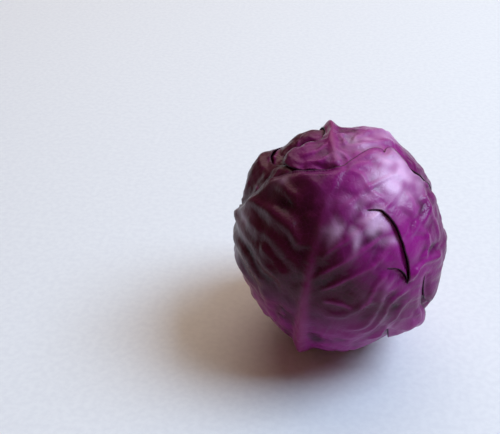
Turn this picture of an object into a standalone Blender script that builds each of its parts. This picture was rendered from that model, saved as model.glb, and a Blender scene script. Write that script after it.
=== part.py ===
"""Head of red cabbage: a packed heart and a cut stalk, wrapped in eight loose outer leaves.

The head stands on its stalk, which is cut flat. Each outer leaf is laid over what is already in
place, so the leaves lap one over the other the way they grew, with a little air between them.
Metres, +Z up. The origin is the middle of the cut face, and azimuth 0 looks out along -Y.
"""

import math

import bpy
import numpy as np
from mathutils import Vector
from mathutils.geometry import delaunay_2d_cdt

# Driving dimensions of the head
HEAD_RADIUS = 0.0660
HEAD_CENTRE_HEIGHT = 0.0730
CROWN_STRETCH = 0.070
BASE_STRETCH = 0.130
HEART_SHARE = 0.865
HEART_FLOOR = 0.0165

# The stalk where the knife went through it
STALK_RADIUS = 0.0140
STALK_RIM = 0.0006
STALK_CLEARANCE = 0.0004

# Leaf blades
BLADE_THICKNESS = 0.0014
AIR_GAP = 0.0008
LOWEST_BLADE = 0.0022
LEAF_BASE_RADIUS = 0.0160

# Angular steps, in degrees, of the laying grid and of the finished facets
LAY_SPAN = 108.0
LAY_STEP = 3.0
FACET_STEP = 9.0
EDGE_STEP = 8.0
EDGE_MARGIN = 4.5

LEAF_COLOUR = (0.130, 0.012, 0.060, 1.0)
INNER_LEAF_COLOUR = (0.190, 0.020, 0.075, 1.0)
HEART_COLOUR = (0.240, 0.035, 0.110, 1.0)
STALK_COLOUR = (0.760, 0.640, 0.560, 1.0)

# Each leaf: where the middle of its blade faces (degrees), how far its tip leans to its right,
# how full it lies (share of the head's own form), its outline and its rib.
# Outline points are degrees across and degrees along the blade. Rib rows are degrees along,
# degrees across, height in mm and half-width in degrees. Swell rows, where the blade stands away
# from or sinks into the head's form, are degrees across, degrees along, height in mm, half-width.
LEAVES = (
    dict(
        name="inner_front_leaf", azimuth=-20, elevation=8, lean=0, form=0.900,
        outline=((0, 66), (30, 60), (50, 40), (56, 10), (52, -20), (40, -48), (20, -68), (0, -80),
                 (-16, -68), (-34, -46), (-46, -18), (-52, 10), (-48, 38), (-28, 58)),
        rib=((-80, 0, 2.0, 8), (-40, 0, 2.0, 6), (20, 0, 0.8, 4), (66, 0, 0.0, 3)),
        swell=(),
    ),
    dict(
        name="upper_left_leaf", azimuth=-140, elevation=15, lean=0, form=0.915,
        outline=((2, 74), (28, 66), (46, 50), (60, 24), (64, -4), (56, -34), (36, -62), (0, -84),
                 (-34, -64), (-54, -36), (-62, -4), (-58, 26), (-42, 54), (-22, 68)),
        rib=((-82, 0, 2.5, 8), (-40, 0, 2.2, 6), (20, 0, 1.0, 4), (70, 0, 0.0, 3)),
        swell=((2, 38, 5.2, 18),),
    ),
    dict(
        name="right_back_leaf", azimuth=122, elevation=5, lean=0, form=0.925,
        outline=((0, 72), (-26, 66), (-48, 48), (-62, 20), (-66, -8), (-58, -38), (-34, -62), (0, -78),
                 (34, -62), (58, -36), (64, -6), (60, 24), (46, 48), (24, 66)),
        rib=((-78, 0, 3.0, 8), (-40, 0, 2.5, 6), (20, 0, 1.2, 4), (68, 0, 0.0, 3)),
        swell=(),
    ),
    dict(
        name="left_leaf", azimuth=-92, elevation=5, lean=0, form=0.935,
        outline=((-16, 42), (-2, 45), (10, 54), (26, 59), (44, 47), (54, 22), (56, -6), (46, -32),
                 (26, -60), (0, -78), (-34, -62), (-56, -38), (-66, -8), (-58, 22), (-38, 38)),
        rib=((-78, 0, 3.0, 8), (-40, 0, 2.5, 6), (10, 0, 1.4, 4), (50, 0, 0.0, 3)),
        swell=((-8, 24, 4.0, 14), (-18, 40, 5.0, 14)),
    ),
    dict(
        name="crown_leaf", azimuth=-165, elevation=22, lean=0, form=0.955,
        outline=((11, 87), (-6, 86), (-22, 79), (-40, 67), (-52, 59), (-64, 46), (-73, 22), (-70, -6),
                 (-60, -34), (-40, -64), (-16, -82), (6, -88), (28, -74), (44, -52), (46, -26), (34, -4),
                 (18, 12), (8, 26), (7, 42), (14, 56), (25, 53), (36, 50), (41, 57), (39, 66), (27, 78)),
        rib=((-88, 0, 4.0, 8), (-45, 0, 3.5, 6), (0, 1, 3.0, 5), (39, 3, 3.8, 4),
             (61, 8, 3.0, 3.5), (75, 11, 1.8, 3), (86, 11, 0.6, 3)),
        swell=((-24, 44, 3.5, 16),),
    ),
    dict(
        name="lower_right_leaf", azimuth=64, elevation=-12, lean=0, form=0.940,
        outline=((0, 30), (20, 28), (38, 18), (48, 0), (48, -22), (34, -46), (14, -62), (-6, -64),
                 (-24, -52), (-38, -30), (-42, -6), (-38, 14), (-22, 26)),
        rib=((-62, 0, 3.0, 8), (-30, 0, 2.5, 6), (10, 0, 1.2, 4), (30, 0, 0.0, 3)),
        swell=(),
    ),
    dict(
        name="lower_back_leaf", azimuth=168, elevation=-15, lean=6, form=0.965,
        outline=((-4, 52), (22, 48), (44, 32), (56, 6), (56, -20), (40, -44), (14, -60), (-8, -61),
                 (-32, -50), (-50, -26), (-54, 2), (-46, 28), (-28, 44)),
        rib=((-60, 0, 5.0, 8), (-30, 0, 3.5, 6), (10, 0, 1.8, 4), (50, 0, 0.0, 3)),
        swell=(),
    ),
    dict(
        name="front_leaf", azimuth=-19, elevation=12, lean=8, form=0.985,
        outline=((-3, 58), (0, 66), (4, 74), (10, 80), (14, 77), (17, 85), (30, 81), (46, 76), (64, 72),
                 (80, 56), (88, 32), (91, 8), (86, -12), (72, -8), (64, 12), (70, -9), (73, -20), (75, -30),
                 (69, -38), (50, -44), (42, -56), (28, -72), (8, -84), (-10, -85), (-34, -78),
                 (-58, -68), (-80, -48), (-92, -26), (-90, -8), (-74, -1), (-57, 7), (-51, 15),
                 (-47, 22), (-41, 34), (-29, 44), (-22, 49), (-15, 52)),
        rib=((-84, 3, 3.0, 7), (-56, 5.3, 5.0, 4.6), (-22, 5.9, 3.0, 4.2), (8, 3.2, 2.0, 4),
             (20, 1.7, 1.6, 3.5), (35, -0.8, 1.0, 3), (58, -3, 0.3, 2.5)),
        swell=((-32, -44, -3.0, 18), (70, -33, 3.0, 9)),
    ),
)


def clear_scene():
    for item in list(bpy.data.objects):
        bpy.data.objects.remove(item, do_unlink=True)


def make_collection(name):
    collection = bpy.data.collections.new(name)
    bpy.context.scene.collection.children.link(collection)
    return collection


def make_material(name, colour, roughness):
    material = bpy.data.materials.new(name)
    material.use_nodes = True
    shader = material.node_tree.nodes["Principled BSDF"]
    shader.inputs["Base Color"].default_value = colour
    shader.inputs["Roughness"].default_value = roughness
    shader.inputs["Metallic"].default_value = 0.0
    material.diffuse_color = colour
    return material


def facing(azimuth, elevation):
    """Unit vector that faces azimuth (0 along -Y, positive towards +X) and elevation, in degrees."""
    a = math.radians(azimuth)
    e = math.radians(elevation)
    return np.array((math.sin(a) * math.cos(e), -math.cos(a) * math.cos(e), math.sin(e)))


def leaf_axes(leaf):
    """Rows: across the blade, along the blade to its tip, and out of the head."""
    out = facing(leaf["azimuth"], leaf["elevation"])
    across = facing(leaf["azimuth"] + 90, 0)
    along = np.cross(out, across)
    lean = math.radians(leaf["lean"])
    tip = math.cos(lean) * along + math.sin(lean) * across
    side = math.cos(lean) * across - math.sin(lean) * along
    return np.stack((side, tip, out))


def to_directions(axes, x, y):
    """Blade coordinates in degrees, wrapped round the head, as unit vectors."""
    reach = np.radians(np.hypot(x, y))
    bearing = np.arctan2(x, y)
    flat = np.stack((np.sin(reach) * np.sin(bearing), np.sin(reach) * np.cos(bearing), np.cos(reach)), -1)
    return flat @ axes


def to_blade(axes, directions):
    """Unit vectors as blade coordinates in degrees."""
    local = directions @ axes.T
    reach = np.degrees(np.arccos(np.clip(local[..., 2], -1, 1)))
    bearing = np.arctan2(local[..., 0], local[..., 1])
    return reach * np.sin(bearing), reach * np.cos(bearing)


def head_radius(directions):
    """Radius of the whole head's own rounded form, a little taller than it is wide."""
    stretch = np.where(directions[..., 2] > 0, CROWN_STRETCH, BASE_STRETCH)
    return HEAD_RADIUS * (1 + stretch * directions[..., 2] ** 2)


def heart_radius(directions):
    """Radius of the heart: the head's form, smaller, and cut level below where the leaf bases meet."""
    rounded = HEART_SHARE * head_radius(directions)
    down = np.maximum(-directions[..., 2], 0.02)
    level = (HEAD_CENTRE_HEIGHT - HEART_FLOOR) / down
    return -np.logaddexp(-rounded / 0.0012, -level / 0.0012) * 0.0012


def closed_curve(points, step):
    """Points about one step apart on a rounded closed curve through the outline's points."""
    ring = np.array(points, float)
    before, after, beyond = np.roll(ring, 1, 0), np.roll(ring, -1, 0), np.roll(ring, -2, 0)
    curve = []
    for p0, p1, p2, p3 in zip(before, ring, after, beyond):
        pieces = max(1, round(float(np.hypot(*(p2 - p1))) / step))
        for t in np.arange(pieces) / pieces:
            curve.append(
                0.5 * (2 * p1 + (p2 - p0) * t + (2 * p0 - 5 * p1 + 4 * p2 - p3) * t ** 2
                       + (3 * p1 - p0 - 3 * p2 + p3) * t ** 3)
            )
    return np.array(curve)


def inside(outline, x, y):
    """Whether each point lies inside a closed outline, by counting the edges it sees."""
    within = np.zeros(np.shape(x), bool)
    for (x1, y1), (x2, y2) in zip(outline, np.roll(outline, -1, 0)):
        if y1 == y2:
            continue
        crosses = (y1 > y) != (y2 > y)
        within ^= crosses & (x < (x2 - x1) * (y - y1) / (y2 - y1) + x1)
    return within


def edge_distance(outline, x, y):
    """Distance in degrees from each point to the nearest edge of an outline."""
    nearest = np.full(np.shape(x), 1e9)
    for start, end in zip(outline, np.roll(outline, -1, 0)):
        run = end - start
        t = np.clip(((x - start[0]) * run[0] + (y - start[1]) * run[1]) / (run @ run), 0, 1)
        nearest = np.minimum(nearest, np.hypot(x - start[0] - t * run[0], y - start[1] - t * run[1]))
    return nearest


def rib_height(leaf, x, y):
    """How far the leaf's rib lifts the blade, in metres."""
    along, across, height, width = (np.array(column, float) for column in zip(*leaf["rib"]))
    middle = np.interp(y, along, across)
    lift = np.interp(y, along, height) / 1000
    return lift * np.exp(-((x - middle) / np.interp(y, along, width)) ** 2)


def swelling(leaf, x, y):
    """How far the blade stands away from the head's own form, in metres."""
    lift = np.zeros(np.shape(x))
    for across, along, height, width in leaf["swell"]:
        lift += height / 1000 * np.exp(-((x - across) ** 2 + (y - along) ** 2) / width ** 2)
    return lift


def spread(raster, pick, times):
    """Each cell takes pick (highest or mean) of itself and its eight neighbours, a few times."""
    for _ in range(times):
        padded = np.pad(raster, 1, mode="edge")
        rows, columns = raster.shape
        around = [padded[i:i + rows, j:j + columns] for i in range(3) for j in range(3)]
        raster = pick(around)
    return raster


def highest(rasters):
    return np.max(rasters, axis=0)


def mean(rasters):
    return np.mean(rasters, axis=0)


def read_raster(raster, x, y):
    """Value of a laying grid at blade coordinates, evened between its cells."""
    column = np.clip((x + LAY_SPAN) / LAY_STEP, 0, raster.shape[1] - 1.001)
    row = np.clip((y + LAY_SPAN) / LAY_STEP, 0, raster.shape[0] - 1.001)
    j, i = column.astype(int), row.astype(int)
    u, v = column - j, row - i
    near = raster[i, j] * (1 - u) + raster[i, j + 1] * u
    far = raster[i + 1, j] * (1 - u) + raster[i + 1, j + 1] * u
    return near * (1 - v) + far * v


def top_below(directions, laid):
    """Radius of the outermost surface already in place, in each direction."""
    top = heart_radius(directions)
    for leaf in laid:
        x, y = to_blade(leaf["axes"], directions)
        covered = inside(leaf["edge"], x, y)
        top = np.where(covered, np.maximum(top, read_raster(leaf["top"], x, y)), top)
    return top


def lay_leaf(leaf, laid):
    """Works out the underside of a leaf that rests on everything laid before it."""
    leaf["axes"] = leaf_axes(leaf)
    leaf["edge"] = closed_curve(leaf["outline"], EDGE_STEP)
    ticks = np.arange(-LAY_SPAN, LAY_SPAN + LAY_STEP / 2, LAY_STEP)
    x, y = np.meshgrid(ticks, ticks)
    directions = to_directions(leaf["axes"], x, y)
    support = spread(top_below(directions, laid), highest, 3)
    support = spread(support, mean, 3)
    form = leaf["form"] * head_radius(directions) + swelling(leaf, x, y)
    full = np.maximum(support + AIR_GAP, form)
    full = full + rib_height(leaf, x, y)
    down = np.maximum(-directions[..., 2], 0.02)
    leaf["under"] = np.minimum(full, (HEAD_CENTRE_HEIGHT - LOWEST_BLADE) / down)
    leaf["top"] = leaf["under"] + 1.15 * BLADE_THICKNESS


def blade_points(leaf):
    """The leaf's flat pattern: its edge, and an even spread of points inside it."""
    edge = leaf["edge"]
    rows = np.arange(-LAY_SPAN, LAY_SPAN, FACET_STEP * math.sqrt(3) / 2)
    grid = []
    for number, y in enumerate(rows):
        shift = FACET_STEP / 2 * (number % 2)
        grid += [(x + shift, y) for x in np.arange(-LAY_SPAN, LAY_SPAN, FACET_STEP)]
    grid = np.array(grid)
    kept = inside(edge, grid[:, 0], grid[:, 1])
    kept &= edge_distance(edge, grid[:, 0], grid[:, 1]) > EDGE_MARGIN
    return np.concatenate((edge, grid[kept])), len(edge)


def clear_of_stalk(points):
    """Moves the points under the head that come too near the stalk straight out from its axis."""
    out = np.hypot(points[:, 0], points[:, 1])
    near = (points[:, 2] < 0) & (out < LEAF_BASE_RADIUS)
    points[near, :2] *= (LEAF_BASE_RADIUS / out[near])[:, None]
    return points


def make_leaf(leaf, collection, material):
    pattern, edge_count = blade_points(leaf)
    loop = [(i, (i + 1) % edge_count) for i in range(edge_count)]
    points, _, faces, _, _, _ = delaunay_2d_cdt([Vector(p) for p in pattern], loop, [], 1, 1e-4)
    x = np.array([p.x for p in points])
    y = np.array([p.y for p in points])
    shape = to_directions(leaf["axes"], x, y) * read_raster(leaf["under"], x, y)[:, None]
    shape = clear_of_stalk(shape)
    shape[:, 2] += HEAD_CENTRE_HEIGHT
    mesh = bpy.data.meshes.new(leaf["name"])
    mesh.from_pydata(shape.tolist(), [], [tuple(face) for face in faces])
    leaf_object = bpy.data.objects.new(leaf["name"], mesh)
    collection.objects.link(leaf_object)
    blade = leaf_object.modifiers.new("blade_thickness", "SOLIDIFY")
    blade.thickness = BLADE_THICKNESS
    blade.offset = 1.0
    mesh.materials.append(material)
    mesh.shade_smooth()
    return leaf_object


def make_heart(collection, material):
    bpy.ops.mesh.primitive_ico_sphere_add(subdivisions=4, radius=1.0)
    heart = bpy.context.object
    heart.name = "heart"
    for vertex in heart.data.vertices:
        direction = np.array(vertex.co.normalized())
        place = direction * float(heart_radius(direction))
        vertex.co = Vector(place) + Vector((0, 0, HEAD_CENTRE_HEIGHT))
    move_to(heart, collection)
    heart.data.materials.append(material)
    heart.data.shade_smooth()
    return heart


def make_stalk(collection, material):
    top = HEART_FLOOR - STALK_CLEARANCE
    bpy.ops.mesh.primitive_cylinder_add(
        vertices=40, radius=STALK_RADIUS, depth=top, location=(0, 0, top / 2)
    )
    stalk = bpy.context.object
    stalk.name = "cut_stalk"
    rim = stalk.modifiers.new("cut_rim", "BEVEL")
    rim.width = STALK_RIM
    rim.segments = 2
    move_to(stalk, collection)
    stalk.data.materials.append(material)
    return stalk


def move_to(item, collection):
    for owner in list(item.users_collection):
        owner.objects.unlink(item)
    collection.objects.link(item)


def build():
    clear_scene()
    collection = make_collection("red_cabbage_head")
    leaf_material = make_material("waxy_outer_leaf", LEAF_COLOUR, 0.42)
    inner_material = make_material("inner_leaf", INNER_LEAF_COLOUR, 0.45)
    heart_material = make_material("packed_heart", HEART_COLOUR, 0.50)
    stalk_material = make_material("cut_stalk_flesh", STALK_COLOUR, 0.65)
    make_heart(collection, heart_material)
    make_stalk(collection, stalk_material)
    laid = []
    for leaf in LEAVES:
        lay_leaf(leaf, laid)
        material = inner_material if leaf["name"].startswith("inner") else leaf_material
        make_leaf(leaf, collection, material)
        laid.append(leaf)


build()
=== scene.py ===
"""Looks of a head of red cabbage: heart, cut stalk and eight loose outer leaves round the CAD frame.

Metres, +Z up. The head stands on its cut stalk, and azimuth 0 looks out along -Y.
"""

import math

import bpy
import numpy as np
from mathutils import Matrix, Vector
from mathutils.geometry import delaunay_2d_cdt


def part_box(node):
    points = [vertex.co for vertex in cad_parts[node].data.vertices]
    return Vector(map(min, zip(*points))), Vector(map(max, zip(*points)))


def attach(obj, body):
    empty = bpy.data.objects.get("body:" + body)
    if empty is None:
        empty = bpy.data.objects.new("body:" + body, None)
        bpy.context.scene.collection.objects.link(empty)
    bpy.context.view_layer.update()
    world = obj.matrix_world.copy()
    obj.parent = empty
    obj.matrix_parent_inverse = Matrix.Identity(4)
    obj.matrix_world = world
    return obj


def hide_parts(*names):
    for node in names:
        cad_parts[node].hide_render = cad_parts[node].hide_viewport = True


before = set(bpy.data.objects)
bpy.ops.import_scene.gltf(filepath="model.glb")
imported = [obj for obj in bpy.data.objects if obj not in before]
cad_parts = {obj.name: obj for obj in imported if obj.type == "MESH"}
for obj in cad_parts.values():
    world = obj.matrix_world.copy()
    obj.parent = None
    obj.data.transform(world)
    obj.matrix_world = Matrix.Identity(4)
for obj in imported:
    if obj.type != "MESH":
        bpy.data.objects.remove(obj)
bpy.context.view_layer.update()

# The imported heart
# Dozens of thin leaves grown tight round each other into one firm ball. It is the middle that
# everything else wraps. Its leaves are paler than the outer ones, because they grew in the dark.

HEAD_RADIUS = 0.0660
CROWN_STRETCH = 0.070
BASE_STRETCH = 0.130
HEART_SHARE = 0.865
heart_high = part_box("heart")[1]
stalk_low, stalk_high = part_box("cut_stalk")
HEAD_CENTRE_HEIGHT = heart_high[2] - HEART_SHARE * HEAD_RADIUS * (1 + CROWN_STRETCH)
HEART_FLOOR = stalk_high[2] + 0.0004
HEART_CORNER_ROUNDING = 0.0012
HEART_LEAF_STEP = 0.0008
HEART_LEAF_TURNS = 2.5
HEART_LEAF_SLANT = 1.7
HEART_FACE_SPLITS = 6
LEAST_DOWN = 0.02


def facing(azimuth, elevation):
    """Unit vector that faces azimuth (0 along -Y, positive towards +X) and elevation, in degrees."""
    a = math.radians(azimuth)
    e = math.radians(elevation)
    return np.array((math.sin(a) * math.cos(e), -math.cos(a) * math.cos(e), math.sin(e)))


def head_radius(directions):
    """Radius of the whole head's own rounded form, a little taller than it is wide."""
    stretch = np.where(directions[..., 2] > 0, CROWN_STRETCH, BASE_STRETCH)
    return HEAD_RADIUS * (1 + stretch * directions[..., 2] ** 2)


def level_radius(directions, height):
    """Radius at which each direction comes down to a level; beyond any leaf where it points up."""
    return (HEAD_CENTRE_HEIGHT - height) / np.maximum(-directions[..., 2], LEAST_DOWN)


def heart_radius(directions):
    """Radius of the heart: the head's form, smaller, and cut level below where the leaf bases meet."""
    rounded = HEART_SHARE * head_radius(directions) / HEART_CORNER_ROUNDING
    level = level_radius(directions, HEART_FLOOR) / HEART_CORNER_ROUNDING
    return -np.logaddexp(-rounded, -level) * HEART_CORNER_ROUNDING


def heart_leaf_steps(directions):
    """Low steps where the margins of the heart's own leaves wind round and lap over each other."""
    azimuth = np.arctan2(directions[..., 0], -directions[..., 1])
    elevation = np.arcsin(np.clip(directions[..., 2], -1, 1))
    wave = 0.5 * np.sin(3 * elevation + azimuth)
    turn = (azimuth * HEART_LEAF_TURNS + elevation * HEART_LEAF_SLANT + wave) / math.tau
    return HEART_LEAF_STEP * ((turn % 1.0) ** 3 - 1)


def linear(hex_code):
    """An sRGB hex colour as linear red, green, blue and alpha."""
    values = [int(hex_code[i:i + 2], 16) / 255 for i in (1, 3, 5)]
    return tuple(v / 12.92 if v <= 0.04045 else ((v + 0.055) / 1.055) ** 2.4 for v in values) + (1.0,)


def add_node(tree, kind, settings=(), values=(), links=()):
    """Adds a node. Settings are its properties, values its sockets, links what feeds its sockets."""
    node = tree.nodes.new(kind)
    for name, value in dict(settings).items():
        setattr(node, name, value)
    for socket, value in dict(values).items():
        node.inputs[socket].default_value = value
    for socket, source in dict(links).items():
        tree.links.new(source, node.inputs[socket])
    return node


def new_material(name):
    """An empty material: its node tree, its surface shader, and the object's own coordinates."""
    material = bpy.data.materials.new(name)
    material.use_nodes = True
    tree = material.node_tree
    shader = tree.nodes["Principled BSDF"]
    place = add_node(tree, "ShaderNodeTexCoord").outputs["Object"]
    return material, tree, shader, place


def shaded(tree, low, high, source, start=0.0, end=1.0):
    """Colour that goes smoothly from low to high as the source goes from start to end."""
    ramp = add_node(
        tree, "ShaderNodeMapRange", {"interpolation_type": "SMOOTHSTEP"},
        {"From Min": start, "From Max": end}, {"Value": source},
    )
    mix = add_node(tree, "ShaderNodeMix", {"data_type": "RGBA"}, links={0: ramp.outputs[0]})
    for socket, colour in ((6, low), (7, high)):
        if isinstance(colour, tuple):
            mix.inputs[socket].default_value = colour
        else:
            tree.links.new(colour, mix.inputs[socket])
    return mix.outputs[2]


def heart_leaf_material():
    """Inner cabbage leaf, as grown: smooth, softly mottled purple, with a paler net of small veins.

    The mottle is about 18 mm across. The veins stand about 7 mm apart.
    """
    material, tree, shader, place = new_material("inner_cabbage_leaf_smooth")
    mottle = add_node(
        tree, "ShaderNodeTexNoise", values={"Scale": 1 / 0.018, "Detail": 4.0}, links={"Vector": place}
    ).outputs["Fac"]
    veins = add_node(
        tree, "ShaderNodeTexVoronoi", {"feature": "DISTANCE_TO_EDGE"}, {"Scale": 1 / 0.007},
        {"Vector": place},
    ).outputs["Distance"]
    flesh = shaded(tree, linear("#5c2450"), linear("#7d3a6c"), mottle, 0.35, 0.65)
    colour = shaded(tree, linear("#9a6487"), flesh, veins, 0.0, 0.16)
    height = add_node(
        tree, "ShaderNodeBump", values={"Strength": 0.4, "Distance": 0.0003}, links={"Height": veins}
    )
    tree.links.new(colour, shader.inputs["Base Color"])
    tree.links.new(height.outputs[0], shader.inputs["Normal"])
    shader.inputs["Roughness"].default_value = 0.45
    shader.inputs["IOR"].default_value = 1.42
    return material


bpy.ops.mesh.primitive_ico_sphere_add(subdivisions=HEART_FACE_SPLITS, radius=1.0)
heart = bpy.context.object
heart.name = "packed_heart"
ball = np.empty(len(heart.data.vertices) * 3)
heart.data.vertices.foreach_get("co", ball)
ball = ball.reshape(-1, 3)
ball /= np.linalg.norm(ball, axis=1)[:, None]
ball *= (heart_radius(ball) + heart_leaf_steps(ball))[:, None]
ball[:, 2] += HEAD_CENTRE_HEIGHT
heart.data.vertices.foreach_set("co", ball.ravel())
heart.data.shade_smooth()
heart.data.materials.append(heart_leaf_material())
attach(heart, "root")
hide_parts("heart")

# The cut stalk
# The stump that the head grew on, cut level with a knife. It is pale fibrous flesh with a woody
# ring a few millimetres in from its skin, and the head stands on the cut.

STALK_RADIUS = (stalk_high[0] - stalk_low[0]) / 2
STALK_TOP = stalk_high[2]
STALK_SIDES = 96
STALK_WANDER = 0.02


def take_shape(name, points, faces, material):
    """A new smooth piece from its points and faces."""
    mesh = bpy.data.meshes.new(name)
    mesh.from_pydata(points, [], faces)
    mesh.materials.append(material)
    mesh.shade_smooth()
    piece = bpy.data.objects.new(name, mesh)
    bpy.context.scene.collection.objects.link(piece)
    return piece


def stalk_material():
    """Cabbage stalk flesh, knife-cut: matt cream, drier and browner at the rim, with fine fibres.

    The fibres are a few tenths of a millimetre thick and would not show, so they are drawn at 1.2 mm.
    """
    material, tree, shader, place = new_material("stalk_flesh_knife_cut")
    apart = add_node(tree, "ShaderNodeSeparateXYZ", links={"Vector": place})
    flat = add_node(
        tree, "ShaderNodeCombineXYZ", links={"X": apart.outputs["X"], "Y": apart.outputs["Y"]}
    )
    out = add_node(tree, "ShaderNodeVectorMath", {"operation": "LENGTH"}, links={0: flat.outputs[0]})
    fibres = add_node(
        tree, "ShaderNodeTexNoise", values={"Scale": 1 / 0.0012, "Detail": 3.0}, links={"Vector": place}
    ).outputs["Fac"]
    flesh = shaded(tree, linear("#cdb69b"), linear("#efe2cc"), fibres, 0.3, 0.7)
    colour = shaded(
        tree, flesh, linear("#a98a78"), out.outputs["Value"], STALK_RADIUS * 0.75, STALK_RADIUS
    )
    height = add_node(
        tree, "ShaderNodeBump", values={"Strength": 0.5, "Distance": 0.0002}, links={"Height": fibres}
    )
    tree.links.new(colour, shader.inputs["Base Color"])
    tree.links.new(height.outputs[0], shader.inputs["Normal"])
    shader.inputs["Roughness"].default_value = 0.7
    shader.inputs["IOR"].default_value = 1.4
    return material


def make_stalk():
    """Rings from the middle of the cut face, over its woody ring and rim, and up to the heart.

    Each row of the profile is a share of the stalk's radius and a height in metres.
    """
    profile = (
        (0.25, 0.0), (0.45, 0.0), (0.62, 0.0001), (0.70, 0.0003), (0.78, 0.0001), (0.88, 0.0),
        (0.95, 0.00015), (0.99, 0.0006), (1.0, 0.0016), (0.98, 0.005), (0.96, 0.010),
        (0.98, STALK_TOP - 0.0006), (0.95, STALK_TOP),
    )
    turns = np.arange(STALK_SIDES) / STALK_SIDES * math.tau
    points = [(0.0, 0.0, 0.0)]
    for share, height in profile:
        wander = 1 - STALK_WANDER * share * (1 + np.sin(5 * turns + 40 * height)) / 2
        radius = STALK_RADIUS * share * wander
        points += [(r * math.sin(t), -r * math.cos(t), height) for r, t in zip(radius, turns)]
    points.append((0.0, 0.0, STALK_TOP))
    faces = []
    for side in range(STALK_SIDES):
        after = (side + 1) % STALK_SIDES
        faces.append((0, 1 + after, 1 + side))
        for ring in range(len(profile) - 1):
            start = 1 + ring * STALK_SIDES
            faces.append((start + side, start + after, start + STALK_SIDES + after,
                          start + STALK_SIDES + side))
        start = 1 + (len(profile) - 1) * STALK_SIDES
        faces.append((start + side, start + after, len(points) - 1))
    return points, faces


stalk_points, stalk_faces = make_stalk()
stalk = take_shape("knife_cut_stalk", stalk_points, stalk_faces, stalk_material())
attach(stalk, "root")
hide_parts("cut_stalk")

# Inner front leaf
# The first of the loose leaves: it lies under the front leaf and shows only through that leaf's
# tear and gaps. Each leaf is a blade about a millimetre thick that grew against what it wraps.
# A blade's places are in degrees round the head: across it, and along it towards its tip.

BLADE_THICKNESS = 0.0012
EDGE_THICKNESS = 0.0006
EDGE_THINNING = 5
AIR_GAP = 0.0007
EDGE_GAP = 0.0005
EDGE_RELIEF = 0.35
LOWEST_BLADE = 0.0022
LEAF_BASE_RADIUS = 0.0160
LAY_SPAN = 108.0
LAY_STEP = 1.0
OUTLINE_STEP = 1.6
MM_PER_DEGREE = 1000 * math.radians(HEAD_RADIUS)
FAR = 1e9
laid = []


def leaf_axes(leaf):
    """Rows: across the blade, along the blade to its tip, and out of the head."""
    out = facing(leaf["azimuth"], leaf["elevation"])
    across = facing(leaf["azimuth"] + 90, 0)
    along = np.cross(out, across)
    lean = math.radians(leaf["lean"])
    tip = math.cos(lean) * along + math.sin(lean) * across
    side = math.cos(lean) * across - math.sin(lean) * along
    return np.stack((side, tip, out))


def to_directions(axes, x, y):
    """Blade coordinates in degrees, wrapped round the head, as unit vectors."""
    reach = np.radians(np.hypot(x, y))
    bearing = np.arctan2(x, y)
    flat = np.stack((np.sin(reach) * np.sin(bearing), np.sin(reach) * np.cos(bearing), np.cos(reach)), -1)
    return flat @ axes


def to_blade(axes, directions):
    """Unit vectors as blade coordinates in degrees."""
    local = directions @ axes.T
    reach = np.degrees(np.arccos(np.clip(local[..., 2], -1, 1)))
    bearing = np.arctan2(local[..., 0], local[..., 1])
    return reach * np.sin(bearing), reach * np.cos(bearing)


def smooth_line(points, step, closed=False):
    """Points about one step apart on a rounded line through the given points."""
    line = np.array(points, float)
    if closed:
        before, after, beyond = np.roll(line, 1, 0), np.roll(line, -1, 0), np.roll(line, -2, 0)
        starts = line
    else:
        longer = np.concatenate((2 * line[:1] - line[1:2], line, 2 * line[-1:] - line[-2:-1]))
        before, starts, after, beyond = longer[:-3], longer[1:-2], longer[2:-1], longer[3:]
    curve = []
    for p0, p1, p2, p3 in zip(before, starts, after, beyond):
        pieces = max(1, round(float(np.hypot(*(p2 - p1))) / step))
        for t in np.arange(pieces) / pieces:
            curve.append(
                0.5 * (2 * p1 + (p2 - p0) * t + (2 * p0 - 5 * p1 + 4 * p2 - p3) * t ** 2
                       + (3 * p1 - p0 - 3 * p2 + p3) * t ** 3)
            )
    if not closed:
        curve.append(line[-1])
    return np.array(curve)


def inside(outline, x, y):
    """Whether each point lies inside a closed outline, by counting the edges it sees."""
    within = np.zeros(np.shape(x), bool)
    for (x1, y1), (x2, y2) in zip(outline, np.roll(outline, -1, 0)):
        if y1 == y2:
            continue
        crosses = (y1 > y) != (y2 > y)
        within ^= crosses & (x < (x2 - x1) * (y - y1) / (y2 - y1) + x1)
    return within


def line_distance(line, x, y):
    """Distance in degrees from each point to a line, and how far along the line that is, 0 to 1."""
    runs = np.diff(line, axis=0)
    lengths = np.hypot(runs[:, 0], runs[:, 1])
    done = 0.0
    nearest = np.full(np.shape(x), FAR)
    share = np.zeros(np.shape(x))
    for start, run, length in zip(line, runs, lengths):
        t = np.clip(((x - start[0]) * run[0] + (y - start[1]) * run[1]) / length ** 2, 0, 1)
        reach = np.hypot(x - start[0] - t * run[0], y - start[1] - t * run[1])
        share = np.where(reach < nearest, done + t * length, share)
        nearest = np.minimum(nearest, reach)
        done += length
    return nearest, share / done


def edge_distance(outline, x, y):
    """Distance in degrees from each point to the nearest place on a closed outline."""
    return line_distance(np.concatenate((outline, outline[:1])), x, y)[0]


def smoothstep(value, start, end):
    """Goes smoothly from 0 to 1 as the value goes from start to end."""
    t = np.clip((value - start) / (end - start), 0, 1)
    return t * t * (3 - 2 * t)


def mound(x, y, across, along, width):
    """A round mound about one place on the blade, 1 at its top."""
    return np.exp(-((x - across) ** 2 + (y - along) ** 2) / width ** 2)


SCATTER_TURNS = (127.1, 311.7, 74.7)
SCATTER_GAIN = 43758.5453


def scatter(column, row, seed):
    """An even spread of numbers from 0 to 1, the same one each time for a given square."""
    turn = column * SCATTER_TURNS[0] + row * SCATTER_TURNS[1] + seed * SCATTER_TURNS[2]
    value = np.sin(turn) * SCATTER_GAIN
    return value - np.floor(value)


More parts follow.
